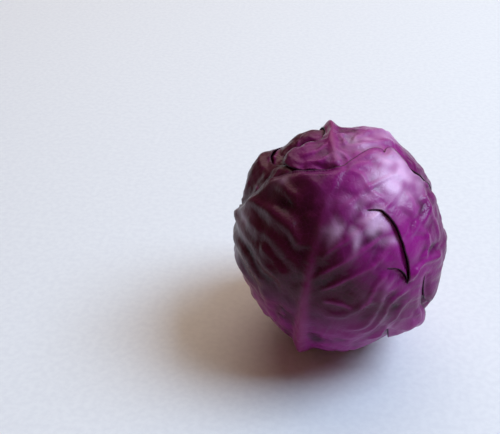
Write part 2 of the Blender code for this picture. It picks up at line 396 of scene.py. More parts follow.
def rumple(x, y, size, seed):
    """Soft random rises and dips from -1 to 1, about the given size in degrees."""
    column, row = np.floor(x / size), np.floor(y / size)
    u, v = smoothstep(x / size - column, 0, 1), smoothstep(y / size - row, 0, 1)
    near = scatter(column, row, seed) * (1 - u) + scatter(column + 1, row, seed) * u
    far = scatter(column, row + 1, seed) * (1 - u) + scatter(column + 1, row + 1, seed) * u
    return 2 * (near * (1 - v) + far * v) - 1


PILLOW_STRAY = 0.8
PILLOW_FLANK = 0.75


def pillows(x, y, size, seed):
    """The puffed blade between the smallest veins: 0 along those veins and 1 on each pillow's top."""
    column, row = np.floor(x / size), np.floor(y / size)
    nearest = np.full(np.shape(x), FAR)
    second = np.full(np.shape(x), FAR)
    for i in (-1, 0, 1):
        for j in (-1, 0, 1):
            stray_x = PILLOW_STRAY * (scatter(column + i, row + j, seed) - 0.5)
            stray_y = PILLOW_STRAY * (scatter(column + i, row + j, seed + 1) - 0.5)
            middle_x = (column + i + 0.5 + stray_x) * size
            middle_y = (row + j + 0.5 + stray_y) * size
            reach = np.hypot(x - middle_x, y - middle_y)
            second = np.where(reach < nearest, nearest, np.minimum(second, reach))
            nearest = np.minimum(nearest, reach)
    return smoothstep((second - nearest) / size, 0.0, PILLOW_FLANK)


THICK_RIB = 0.0040


def rib_shape(leaf, x, y):
    """How far the leaf's rib lifts the blade, in metres, and how much of it is rib, 0 to 1.

    Each of the rib's rows says how far along and across the blade it is, its height in millimetres
    and its width in degrees.
    """
    along, across, height, width = (np.array(column, float) for column in zip(*leaf["rib"]))
    middle = np.interp(y, along, across)
    lift = np.interp(y, along, height) / 1000
    nearness = np.exp(-((x - middle) / np.interp(y, along, width)) ** 2)
    return lift * nearness, nearness * np.clip(lift / THICK_RIB, 0, 1)


SIDE_VEIN_SPACING = 13.0
SIDE_VEIN_WIDTH = 1.5


def side_veins(leaf):
    """Side veins that leave the rib in turn, lean towards the tip and fade out near the margin."""
    random = np.random.default_rng(leaf["seed"])
    along, across = np.array([row[:2] for row in leaf["rib"]], float).T
    lines = []
    for side in (-1, 1):
        for start in np.arange(along[0] + 14 + 4 * side, along[-1] - 6, SIDE_VEIN_SPACING):
            start = start + random.uniform(-3, 3)
            reach = random.uniform(34, 56)
            rise = random.uniform(16, 30)
            middle = np.interp(start, along, across)
            sway = random.uniform(-3, 3)
            lines.append((
                random.uniform(0.5, 0.9), SIDE_VEIN_WIDTH,
                [(middle + side * reach * t, start + rise * t ** 1.3 + sway * math.sin(math.pi * t))
                 for t in (0, 0.25, 0.5, 0.75, 1)],
            ))
    return lines


WANDER = 2.4
WANDER_SIZE = 9
FINE_VEIN = 2
BROAD_FOLD = 2.2
FOLD_VEIN = 0.8
FOLD_FADE = 0.22
PILLOW_VEIN = 0.28


def relief(leaf, x, y):
    """The leaf's own relief in metres, and how much of each place is vein, from 0 to 1.

    Each swell has a place, a height in millimetres and a width; each fold a height, a width and the
    line it follows; pillows and crumple have a size in degrees and a height in millimetres.
    """
    lift, vein = rib_shape(leaf, x, y)
    for across, along, height, width in leaf["swell"]:
        lift = lift + height / 1000 * mound(x, y, across, along, width)
    bend_x = x + WANDER * rumple(x, y, WANDER_SIZE, leaf["seed"] + 5)
    bend_y = y + WANDER * rumple(x, y, WANDER_SIZE, leaf["seed"] + 6)
    for height, width, points in leaf["folds"] + leaf.get("side_veins", side_veins(leaf)):
        line = smooth_line(points, 3.0)
        low, high = line.min(0) - 3 * width, line.max(0) + 3 * width
        close = (x > low[0]) & (x < high[0]) & (y > low[1]) & (y < high[1])
        reach, share = line_distance(line, x[close], y[close])
        fade = smoothstep(np.minimum(share, 1 - share), -0.02, FOLD_FADE)
        if width > BROAD_FOLD:
            fade = fade * (0.85 + 0.55 * rumple(x[close], y[close], 13, leaf["seed"] + width))
            reach = reach * (1 + 0.35 * rumple(x[close], y[close], 8, leaf["seed"] - width))
        ridge = np.exp(-(reach / width) ** 2) * fade
        lift[close] += height / 1000 * ridge
        if width < FINE_VEIN:
            drawn = FOLD_VEIN * np.exp(-(reach / (0.75 * width)) ** 2) * fade
            vein[close] = np.maximum(vein[close], drawn)
    smooth_side = smoothstep(x, *leaf["puffed_from"]) if "puffed_from" in leaf else 1.0
    for size, height in leaf["pillows"]:
        puff = pillows(bend_x, bend_y, size, leaf["seed"] + size)
        amount = smooth_side * (0.75 + 0.5 * rumple(x, y, 22, leaf["seed"] + 9))
        lift = lift + height / 1000 * (puff - 0.5) * amount
        vein = np.maximum(vein, PILLOW_VEIN * smooth_side * (1 - smoothstep(puff, 0.0, 0.35)))
    for size, height in leaf["crumple"]:
        lift = lift + height / 1000 * rumple(bend_x, bend_y, size, leaf["seed"] + size)
    return lift, vein


def spread(raster, pick, times):
    """Each cell takes pick (highest or mean) of itself and its eight neighbours, a few times."""
    for _ in range(times):
        padded = np.pad(raster, 1, mode="edge")
        rows, columns = raster.shape
        around = [padded[i:i + rows, j:j + columns] for i in range(3) for j in range(3)]
        raster = pick(around)
    return raster


def highest(rasters):
    """The highest of the rasters at each cell."""
    return np.max(rasters, axis=0)


def mean(rasters):
    """The mean of the rasters at each cell."""
    return np.mean(rasters, axis=0)


def read_raster(raster, x, y):
    """Value of a laying grid at blade coordinates, evened between its cells."""
    column = np.clip((x + LAY_SPAN) / LAY_STEP, 0, raster.shape[1] - 1.001)
    row = np.clip((y + LAY_SPAN) / LAY_STEP, 0, raster.shape[0] - 1.001)
    j, i = column.astype(int), row.astype(int)
    u, v = column - j, row - i
    near = raster[i, j] * (1 - u) + raster[i, j + 1] * u
    far = raster[i + 1, j] * (1 - u) + raster[i + 1, j + 1] * u
    return near * (1 - v) + far * v


def top_below(directions):
    """Radius of the outermost surface already in place, in each direction."""
    top = heart_radius(directions)
    for leaf in laid:
        x, y = to_blade(leaf["axes"], directions)
        covered = inside(leaf["edge"], x, y)
        top = np.where(covered, np.maximum(top, read_raster(leaf["top"], x, y)), top)
    return top


def underside(leaf, x, y, lift):
    """Radius of the leaf's underside where its own relief is known, in metres.

    The blade hugs what lies below it along its margin and lies loose inside that, and also where
    its margin stands off. A lifted place stands so many metres higher.
    """
    margin = edge_distance(leaf["edge"], x, y)
    body = smoothstep(margin, 0, leaf["hug"])
    for across, along, width in leaf.get("stands_off", ()):
        body = np.maximum(body, mound(x, y, across, along, width))
    below = read_raster(leaf["below"], x, y)
    loose = read_raster(leaf["loose"], x, y)
    for across, along, height, width in leaf.get("lifted", ()):
        lift = lift + height * mound(x, y, across, along, width)
    shown = EDGE_RELIEF + (1 - EDGE_RELIEF) * body
    full = below + EDGE_GAP + body * (loose - below - EDGE_GAP) + lift * shown
    return np.maximum(full, below + EDGE_GAP)


def lay_leaf(leaf):
    """Works out where a leaf rests on everything laid before it."""
    leaf["axes"] = leaf_axes(leaf)
    leaf["edge"] = smooth_line(leaf["outline"], OUTLINE_STEP, closed=True)
    ticks = np.arange(-LAY_SPAN, LAY_SPAN + LAY_STEP / 2, LAY_STEP)
    x, y = np.meshgrid(ticks, ticks)
    directions = to_directions(leaf["axes"], x, y)
    top = top_below(directions)
    leaf["below"] = spread(spread(top, highest, 1), mean, 2)
    resting = spread(spread(top, highest, 4), mean, 9) + AIR_GAP
    leaf["loose"] = np.maximum(resting, leaf["form"] * head_radius(directions))
    lift, _ = relief(leaf, x, y)
    leaf["evened"] = spread(lift, mean, 40)
    under = np.minimum(underside(leaf, x, y, lift), level_radius(directions, LOWEST_BLADE))
    leaf["top"] = under + BLADE_THICKNESS


def blade_pattern(leaf):
    """The leaf's flat pattern in triangles: its edge, its tear, and even points inside."""
    edge, step = leaf["edge"], leaf["facet"]
    clear = 0.6 * step
    rows = np.arange(-LAY_SPAN, LAY_SPAN, step * math.sqrt(3) / 2)
    grid = []
    for number, y in enumerate(rows):
        shift = step / 2 * (number % 2)
        grid += [(x + shift, y) for x in np.arange(-LAY_SPAN, LAY_SPAN, step)]
    grid = np.array(grid)
    kept = inside(edge, grid[:, 0], grid[:, 1])
    kept &= edge_distance(edge, grid[:, 0], grid[:, 1]) > clear
    count = len(edge)
    loop = [(i, (i + 1) % count) for i in range(count)]
    tear = leaf.get("tear_line", np.empty((0, 2)))
    if len(tear):
        kept &= line_distance(tear, grid[:, 0], grid[:, 1])[0] > clear
        loop += [(count + i, count + i + 1) for i in range(len(tear) - 1)]
    pattern = np.concatenate((edge, tear, grid[kept]))
    points, _, faces, _, _, _ = delaunay_2d_cdt([Vector(p) for p in pattern], loop, [], 1, 1e-4)
    cut = list(range(count, count + len(tear)))
    return np.array([p[:] for p in points]), np.array(faces), cut


def open_tear(flat, faces, cut):
    """Parts the blade along its tear: the faces on the tear's left get points of their own."""
    around = {}
    for number, corners in enumerate(faces.tolist()):
        for k in range(3):
            if corners[k] in cut[1:-1]:
                around.setdefault(corners[k], {})[corners[(k + 1) % 3]] = (number, corners[(k + 2) % 3])
    parted = faces.copy()
    twins = {}
    for before, point, after in zip(cut, cut[1:], cut[2:]):
        twins[point] = len(flat) + len(twins)
        spoke = after
        while spoke != before:
            number, following = around[point][spoke]
            parted[number][faces[number] == point] = twins[point]
            spoke = following
    flat = np.concatenate((flat, flat[list(twins)]))
    return flat, parted, np.array(list(twins.values()), int)


def clear_of_stalk(points):
    """Moves the points under the head that come too near the stalk straight out from its axis."""
    out = np.hypot(points[:, 0], points[:, 1])
    near = (points[:, 2] < 0) & (out < LEAF_BASE_RADIUS)
    points[near, :2] *= (LEAF_BASE_RADIUS / out[near])[:, None]
    return points


RUBBING = 5
RUBBING_SIZE = 8
BLOOM_MOTTLE = 0.5
BLOOM_MOTTLE_SIZE = 5


def bloom_and_highlight_patches(leaf, x, y):
    """Where the blade is whitened, from 0 to 1: partly where the wax lies thick, and partly a painted
    highlight where the blade faces the window.
    """
    thick = np.zeros(np.shape(x))
    rubbed_x = x + RUBBING * rumple(x, y, RUBBING_SIZE, leaf["seed"] + 3)
    rubbed_y = y + RUBBING * rumple(x, y, RUBBING_SIZE, leaf["seed"] + 4)
    for across, along, width, amount in leaf.get("bloom_and_highlight", ()):
        thick = np.maximum(thick, amount * mound(rubbed_x, rubbed_y, across, along, width))
    mottle = BLOOM_MOTTLE * rumple(x, y, BLOOM_MOTTLE_SIZE, leaf["seed"] + 2)
    return np.clip(thick * (1 + mottle), 0, 1)


# Painted light and shade: the side painted as lit faces towards the window, and the right side far round
# is painted darker.
PAINTED_LIGHT_SIDE = facing(80, 40)
PAINTED_SHADE_FLANK = facing(112, 8)


def violet_and_painted_light_places(directions):
    """How the blade's colour is painted, from dark red at 0 to bright violet at 1.

    Partly the blade's own change of hue, and partly painted light and shade: highest where it faces
    the window on the upper right, some painted light low down and on top, and painted shade on the
    left and far round on the right.
    """
    painted_lit = smoothstep(directions @ PAINTED_LIGHT_SIDE, 0.18, 0.9)
    flank = smoothstep(directions @ PAINTED_SHADE_FLANK, 0.3, 0.85)
    below = 0.8 * smoothstep(-directions[:, 2], -0.25, 0.6)
    above = 0.6 * smoothstep(directions[:, 2], 0.78, 0.98)
    return np.maximum(painted_lit * (1 - 0.6 * flank), np.maximum(below, above))


def blade_faces(faces, count):
    """Faces of the whole blade: the outer one, the inner one turned over, and the rim between them."""
    sides = np.concatenate((faces[:, [0, 1]], faces[:, [1, 2]], faces[:, [2, 0]]))
    open_sides = sides[~np.isin(sides[:, 0] * count + sides[:, 1], sides[:, 1] * count + sides[:, 0])]
    a, b = open_sides.T
    rim = np.stack((b, a, a + count, b + count), 1)
    return faces.tolist() + (faces[:, ::-1] + count).tolist() + rim.tolist()


def mark_blade(mesh, name, values):
    """Writes a number or a vector for each point of the pattern on both of the blade's faces."""
    if values.ndim == 1:
        layer = mesh.attributes.new(name, "FLOAT", "POINT")
        layer.data.foreach_set("value", np.tile(values, 2).astype(np.float32))
    else:
        layer = mesh.attributes.new(name, "FLOAT_VECTOR", "POINT")
        layer.data.foreach_set("vector", np.tile(values, (2, 1)).astype(np.float32).ravel())


CREST_HEIGHT = 0.003
MARGIN_WIDTH = 1.2
FAN_START = 12
FAN_STRETCH = 0.07


def fan_places(leaf, x, y):
    """Each point's bearing and shortened reach from behind the leaf's base, where its fibres start."""
    base_y, base_x = leaf["rib"][0][:2]
    across, along = x - base_x, y - base_y + FAN_START
    bearing = np.degrees(np.arctan2(across, along))
    return np.stack((bearing, FAN_STRETCH * np.hypot(across, along), np.zeros(len(x))), 1)


def make_leaf(leaf, material):
    """Lays the leaf and cuts its blade: an outer face, an inner face and a rounded margin."""
    lay_leaf(leaf)
    flat, faces, cut = blade_pattern(leaf)
    twins = np.empty(0, int)
    if cut:
        flat, faces, twins = open_tear(flat, faces, cut)
    x, y = flat.T.copy()
    lift, vein = relief(leaf, x, y)
    # How far each place stands above its evened relief; the material paints shade into the low places by
    # it.
    crest = np.clip(0.5 + (lift - read_raster(leaf["evened"], x, y)) / CREST_HEIGHT, 0, 1)
    under = underside(leaf, x, y, lift)
    margin = edge_distance(leaf["edge"], x, y)
    if cut:
        shift_x, shift_y, raised, margin = tear_lips(leaf, x, y, margin, twins)
        under = under + raised
        x, y = x + shift_x, y + shift_y
    directions = to_directions(leaf["axes"], x, y)
    under = np.minimum(under, level_radius(directions, LOWEST_BLADE))
    thick = EDGE_THICKNESS + (BLADE_THICKNESS - EDGE_THICKNESS) * smoothstep(margin, 0, EDGE_THINNING)
    outer = clear_of_stalk(directions * (under + thick)[:, None])
    inner = clear_of_stalk(directions * under[:, None])
    points = np.concatenate((outer, inner))
    points[:, 2] += HEAD_CENTRE_HEIGHT
    piece = take_shape(leaf["name"], points.tolist(), blade_faces(faces, len(x)), material)
    flat_x, flat_y = flat.T
    marks = {
        "vein": vein,
        "crest": crest,
        "margin": 1 - smoothstep(margin, 0, MARGIN_WIDTH),
        "rib": rib_shape(leaf, flat_x, flat_y)[1],
        # Painted light and shade over the blade's own hue, from dark red to bright violet.
        "violet_and_painted_light": violet_and_painted_light_places(directions),
        # Whitened patches, partly wax and partly a painted highlight.
        "bloom_and_highlight": bloom_and_highlight_patches(leaf, flat_x, flat_y),
        "fan": fan_places(leaf, flat_x, flat_y),
        "blade": np.stack((flat_x, flat_y, np.zeros(len(x))), 1) * MM_PER_DEGREE,
    }
    for name, values in marks.items():
        mark_blade(piece.data, name, values)
    laid.append(leaf)
    return piece


CLOUD_MM = 26
SMALL_VEIN_MM = 3.4
VEIN_VEER_MM = 4.0
VEER_SIZE_MM = 7
WAX_GRAIN_MM = 1.4
FIBRE_DEGREES = 1.6


def leaf_material(name, colours):
    """Red cabbage leaf: purple blade under whitish wax, satin where the wax is rubbed, with light and
    shade painted into its colour.

    The eye gets plum hollows that are painted shade in the low places of the relief, magenta veins,
    whitened patches that are partly wax and partly painted highlight, thin dark margins and a broad
    soft shine. The blade is painted dark red where it faces away from the window and bright violet
    where it faces it, over its own change of hue. The smallest veins really enclose fields of 1 to 2
    mm and the wax grains are far below a tenth of a millimetre: both are drawn coarser, so that they
    show. The fibres fan out from the leaf's base. The leaf's own marks say where each of these goes.
    """
    material, tree, shader, _ = new_material(name)
    marks = {
        mark: add_node(tree, "ShaderNodeAttribute", {"attribute_name": mark}).outputs["Fac"]
        for mark in ("vein", "crest", "margin", "rib", "violet_and_painted_light", "bloom_and_highlight")
    }
    places = {
        place: add_node(tree, "ShaderNodeAttribute", {"attribute_name": place}).outputs["Vector"]
        for place in ("blade", "fan")
    }
    fibres = add_node(
        tree, "ShaderNodeTexNoise", {},
        {"Scale": 1 / FIBRE_DEGREES, "Detail": 3.0, "Distortion": 0.6}, {"Vector": places["fan"]},
    ).outputs["Fac"]
    clouds = add_node(
        tree, "ShaderNodeTexNoise", {},
        {"Scale": 1 / CLOUD_MM, "Detail": 3.0, "Roughness": 0.55}, {"Vector": places["blade"]},
    ).outputs["Fac"]
    grain = add_node(
        tree, "ShaderNodeTexNoise", {},
        {"Scale": 1 / WAX_GRAIN_MM, "Detail": 4.0, "Roughness": 0.6}, {"Vector": places["blade"]},
    ).outputs["Fac"]
    veer = add_node(
        tree, "ShaderNodeTexNoise", {},
        {"Scale": 1 / VEER_SIZE_MM, "Detail": 2.0}, {"Vector": places["blade"]},
    ).outputs["Color"]
    veered = add_node(
        tree, "ShaderNodeVectorMath", {"operation": "MULTIPLY_ADD"},
        {1: (VEIN_VEER_MM, VEIN_VEER_MM, 0.0)}, {0: veer, 2: places["blade"]},
    ).outputs[0]
    network = add_node(
        tree, "ShaderNodeTexVoronoi", {"feature": "DISTANCE_TO_EDGE"},
        {"Scale": 1 / SMALL_VEIN_MM}, {"Vector": veered},
    ).outputs["Distance"]
    tones = {part: linear(colour) for part, colour in colours.items()}
    streaked = shaded(tree, tones["violet"], tones["streak"], fibres, 0.48, 1.0)
    # Painted light and shade: dark red where the blade faces away from the window, bright violet where it
    # faces it.
    painted_lit_skin = shaded(tree, tones["red"], streaked, marks["violet_and_painted_light"])
    # Painted shade: the low places of the relief are darkened towards near black.
    hollow_shade_painted = shaded(tree, tones["painted_hollow_shade"], painted_lit_skin, marks["crest"], 0.18, 0.62)
    mottled = shaded(tree, hollow_shade_painted, painted_lit_skin, clouds, 0.3, 0.62)
    netted = shaded(tree, tones["vein"], mottled, network, -0.22, 0.06)
    veined = shaded(tree, netted, tones["vein"], marks["vein"], 0.1, 1.5)
    ribbed = shaded(tree, veined, tones["rib"], marks["rib"], 0.0, 1.1)
    # Whitened patches, partly wax and partly a painted highlight where the blade faces the window.
    bloom_and_highlight_painted = shaded(tree, ribbed, tones["bloom_and_highlight"], marks["bloom_and_highlight"], 0.0, 1.35)
    edged = shaded(tree, bloom_and_highlight_painted, tones["edge"], marks["margin"], 0.25, 1.0)
    roughness = add_node(
        tree, "ShaderNodeMapRange", {},
        {"From Min": 0.3, "From Max": 0.7, "To Min": 0.26, "To Max": 0.38}, {"Value": clouds},
    ).outputs[0]
    between_veins = add_node(
        tree, "ShaderNodeMapRange", {"interpolation_type": "SMOOTHSTEP"},
        {"From Min": 0.0, "From Max": 0.25}, {"Value": network},
    ).outputs[0]
    grained = add_node(
        tree, "ShaderNodeMath", {"operation": "MULTIPLY_ADD"}, {1: 0.5}, {0: grain, 2: between_veins}
    ).outputs[0]
    height = add_node(
        tree, "ShaderNodeMath", {"operation": "MULTIPLY_ADD"}, {1: 2.0}, {0: fibres, 2: grained}
    ).outputs[0]
    bump = add_node(
        tree, "ShaderNodeBump", values={"Strength": 0.28, "Distance": 0.0002}, links={"Height": height}
    ).outputs[0]
    tree.links.new(edged, shader.inputs["Base Color"])
    tree.links.new(roughness, shader.inputs["Roughness"])
    tree.links.new(bump, shader.inputs["Normal"])
    shader.inputs["IOR"].default_value = 1.45
    shader.inputs["Specular IOR Level"].default_value = 0.26
    return material


# Each leaf's colours: the near-black one is painted shade for the low places of the relief, and the palest
# one is wax whitening with a painted highlight.
outer_leaf = leaf_material("red_cabbage_leaf_waxy", {
    "red": "#440a24", "violet": "#981c82", "painted_hollow_shade": "#24020f", "streak": "#9a5492",
    "vein": "#942e7a", "rib": "#882a66", "bloom_and_highlight": "#f0c4ea", "edge": "#360c2a",
})
# A darker copy of these colours: painted shade, for the inner front leaf that is seen only through the
# front leaf's tear and gaps.
painted_shade_leaf = leaf_material("red_cabbage_leaf_painted_shade", {
    "red": "#480c2a", "violet": "#6c1460", "painted_hollow_shade": "#26040f", "streak": "#7a3870",
    "vein": "#7c2664", "rib": "#782a56", "bloom_and_highlight": "#8d5c92", "edge": "#360c2a",
})

# form is the share of the head's radius that the blade fills where nothing below it stands higher,
# facet the size of its triangles, and hug how far in from its margin it lies close, in degrees.
inner_front = dict(
    name="inner_front_leaf_blade", seed=3,
    azimuth=-20, elevation=8, lean=0,
    form=0.900, facet=1.6, hug=7,
    outline=((0, 66), (30, 60), (50, 40), (56, 10), (52, -20), (40, -48), (20, -68), (0, -80),
             (-16, -68), (-34, -46), (-46, -18), (-52, 10), (-48, 38), (-28, 58)),
    rib=((-80, 0, 2.0, 8), (-40, 0, 2.0, 6), (20, 0, 0.8, 4), (66, 0, 0.0, 3)),
    swell=(), folds=[], pillows=((12, 0.5),), crumple=((26, 0.5),),
)
# Coloured with the darker copy of the leaf colours, as painted shade.
inner_front_piece = make_leaf(inner_front, painted_shade_leaf)
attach(inner_front_piece, "root")
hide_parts("inner_front_leaf")

# Upper left leaf
# A loose leaf on the left of the crown. Its blade is puffed up and creased where the crown leaf
# presses on it, and it shows beside that leaf's left margin.

upper_left = dict(
    name="upper_left_leaf_blade", seed=11,
    azimuth=-140, elevation=15, lean=0,
    form=0.915, facet=1.0, hug=6,
    outline=((2, 74), (28, 66), (46, 50), (60, 24), (64, -4), (56, -34), (36, -62), (0, -84),
             (-34, -64), (-54, -36), (-62, -4), (-58, 26), (-42, 54), (-22, 68)),
    rib=((-82, 0, 2.5, 8), (-40, 0, 2.2, 6), (20, 0, 1.0, 4), (70, 0, 0.0, 3)),
    swell=((4, 35, 6.0, 12), (-8, 42, 3.5, 9), (21, 28, 3.5, 9)),
    folds=[(-6.5, 3.2, ((27, 41), (18, 44), (12, 49), (4, 53))),
           (1.6, 2.2, ((34, 22), (28, 28), (24, 33), (26, 38)))],
    pillows=((11, 0.8), (5, 0.25)), crumple=((24, 0.8), (8, 0.2)),
)
upper_left_piece = make_leaf(upper_left, outer_leaf)
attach(upper_left_piece, "root")
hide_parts("upper_left_leaf")

# Right back leaf
# The broad leaf that wraps the right side and the back of the head. Most of it lies bare at the
# back, and its left part goes under the front leaf.

right_back = dict(
    name="right_back_leaf_blade", seed=23,
    azimuth=122, elevation=5, lean=0,
    form=0.925, facet=1.0, hug=6,
    outline=((0, 72), (-26, 66), (-48, 48), (-62, 20), (-66, -8), (-58, -38), (-34, -62), (0, -78),
             (34, -62), (58, -36), (64, -6), (60, 24), (46, 48), (24, 66)),
    rib=((-78, 0, 3.0, 8), (-40, 0, 2.5, 6), (20, 0, 1.2, 4), (68, 0, 0.0, 3)),
    swell=(), folds=[], pillows=((12, 0.9), (5, 0.25)), crumple=((26, 0.9), (8, 0.2)),
)
right_back_piece = make_leaf(right_back, outer_leaf)
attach(right_back_piece, "root")
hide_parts("right_back_leaf")

# Left leaf
# The leaf that covers the left side, grown from the stalk like the others. Two slight creases run
# down from its free margin, which shows as a strip between the crown leaf and the front leaf.

left = dict(
    name="left_leaf_blade", seed=37,
    azimuth=-92, elevation=5, lean=0,
    form=0.935, facet=1.0, hug=6,
    outline=((-16, 40), (-3, 42.5), (6, 50), (13, 57), (26, 60), (44, 47), (54, 22), (56, -6), (46, -32),
             (26, -60), (0, -78), (-34, -62), (-56, -38), (-66, -8), (-58, 22), (-38, 37)),
    rib=((-78, 0, 3.0, 8), (-40, 0, 2.5, 6), (10, 0, 1.4, 4), (50, 0, 0.0, 3)),
    swell=((-8, 24, 4.0, 14), (-14, 34, 2.0, 12)),
    folds=[(1.4, 2.4, ((8, 52), (18, 40), (24, 26))), (1.2, 2.2, ((20, 54), (30, 42), (36, 26)))],
    pillows=((10, 0.9), (4.5, 0.3)), crumple=((22, 0.8), (7, 0.25)),
)
left_piece = make_leaf(left, outer_leaf)
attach(left_piece, "root")
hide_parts("left_leaf")

# Crown leaf
# The leaf that rises from the back and closes over the top. Its rib stands up as a sharp crest,
# its left margin stands off the leaves below, and its tip is a point above the front leaf's rib.

crown = dict(
    name="crown_leaf_blade", seed=41,
    azimuth=-165, elevation=22, lean=0,
    form=0.955, facet=0.9, hug=5,
    outline=((11, 88), (-6, 88), (-22, 80), (-40, 68), (-52, 60), (-64, 46), (-73, 22), (-70, -6),
             (-60, -34), (-40, -64), (-16, -82), (6, -88), (28, -74), (44, -52), (46, -26), (34, -4),
             (18, 12), (8, 26), (6.5, 38), (8, 47), (10.5, 52), (14, 55.5), (22, 53.5), (29, 50.5),
             (34, 48.5), (38.3, 50), (40.5, 56), (39.8, 63), (36.3, 69), (27, 76.5), (18, 83)),
    rib=((-88, 0, 4.0, 8), (-45, 0, 3.5, 6), (0, 1, 3.0, 5), (39, 3, 3.8, 4),
         (61, 8, 3.0, 3.5), (75, 11, 1.8, 3), (86, 11, 0.6, 3)),
    swell=((-24, 44, 3.5, 16), (-2.5, 60, -2.2, 3.2)),
    stands_off=((38, 60, 8), (30, 74, 8), (20, 54, 9), (31, 51, 7), (12, 56, 6)), side_veins=[],
    lifted=((24, 53, 0.0016, 9), (34, 52, 0.0012, 6)),
    folds=[(1.7, 1.7, ((4, 68), (1, 65), (0.5, 61), (1.5, 57), (-3, 54))),
           (1.1, 1.8, ((-1, 62), (-8, 59), (-18, 52), (-26, 47), (-34, 42))),
           (1.5, 2.0, ((3, 68), (-5, 69), (-14, 66), (-24, 60), (-34, 54))),
           (0.9, 1.5, ((10, 70), (5, 76), (3, 82), (5, 87))),
           (0.8, 1.3, ((11, 73), (22, 74), (29, 70), (41, 66))),
           (0.7, 1.3, ((9, 62), (20, 66), (32, 62))),
           (0.7, 1.3, ((10, 80), (20, 80), (28, 77))),
           (1.0, 2.2, ((-8, 76), (-22, 70), (-36, 60)))],
    # Whitened patches on the crown's top: wax, with a painted highlight where it faces the window.
    bloom_and_highlight=((-12, 62, 12, 0.7), (-24, 48, 12, 0.6), (8, 74, 8, 0.3)),
    pillows=((10, 0.55), (4.5, 0.15)), crumple=((22, 0.5), (7, 0.12)),
)
crown_piece = make_leaf(crown, outer_leaf)
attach(crown_piece, "root")
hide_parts("crown_leaf")

# Lower right leaf
# A short leaf low on the right, cupped round the base of the head. Most of it lies under the
# front leaf, whose ragged edge stands off it and leaves it bare beyond.

lower_right = dict(
    name="lower_right_leaf_blade", seed=53,
    azimuth=64, elevation=-12, lean=0,
    form=0.940, facet=1.0, hug=6,
    outline=((0, 30), (20, 28), (38, 18), (48, 0), (48, -22), (34, -46), (14, -62), (-6, -64),
             (-24, -52), (-38, -30), (-42, -6), (-38, 14), (-22, 26)),
    rib=((-62, 0, 3.0, 8), (-30, 0, 2.5, 6), (10, 0, 1.2, 4), (30, 0, 0.0, 3)),
    swell=(), folds=[], pillows=((11, 0.8), (5, 0.25)), crumple=((22, 0.8), (8, 0.2)),
)
lower_right_piece = make_leaf(lower_right, outer_leaf)
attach(lower_right_piece, "root")
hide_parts("lower_right_leaf")

# Lower back leaf
# The outermost leaf behind, short and thick-ribbed. It grew lowest on the stalk, so it is cupped
# round the base of the head over the leaves that rise above it.

lower_back = dict(
    name="lower_back_leaf_blade", seed=61,
    azimuth=168, elevation=-15, lean=6,
    form=0.965, facet=1.0, hug=6,
    outline=((-4, 52), (22, 48), (44, 32), (56, 6), (56, -20), (40, -44), (14, -60), (-8, -61),
             (-32, -50), (-50, -26), (-54, 2), (-46, 28), (-28, 44)),
    rib=((-60, 0, 5.0, 8), (-30, 0, 3.5, 6), (10, 0, 1.8, 4), (50, 0, 0.0, 3)),
    swell=(), folds=[], pillows=((12, 0.9), (5, 0.25)), crumple=((24, 0.8), (8, 0.2)),
)
lower_back_piece = make_leaf(lower_back, outer_leaf)
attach(lower_back_piece, "root")
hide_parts("lower_back_leaf")

# Front leaf
# The outermost and largest leaf. It wraps the whole front, with rounded creases on its left, fine
# veins on its right, and a curved tear on the right whose upper lip stands out over the lower one.

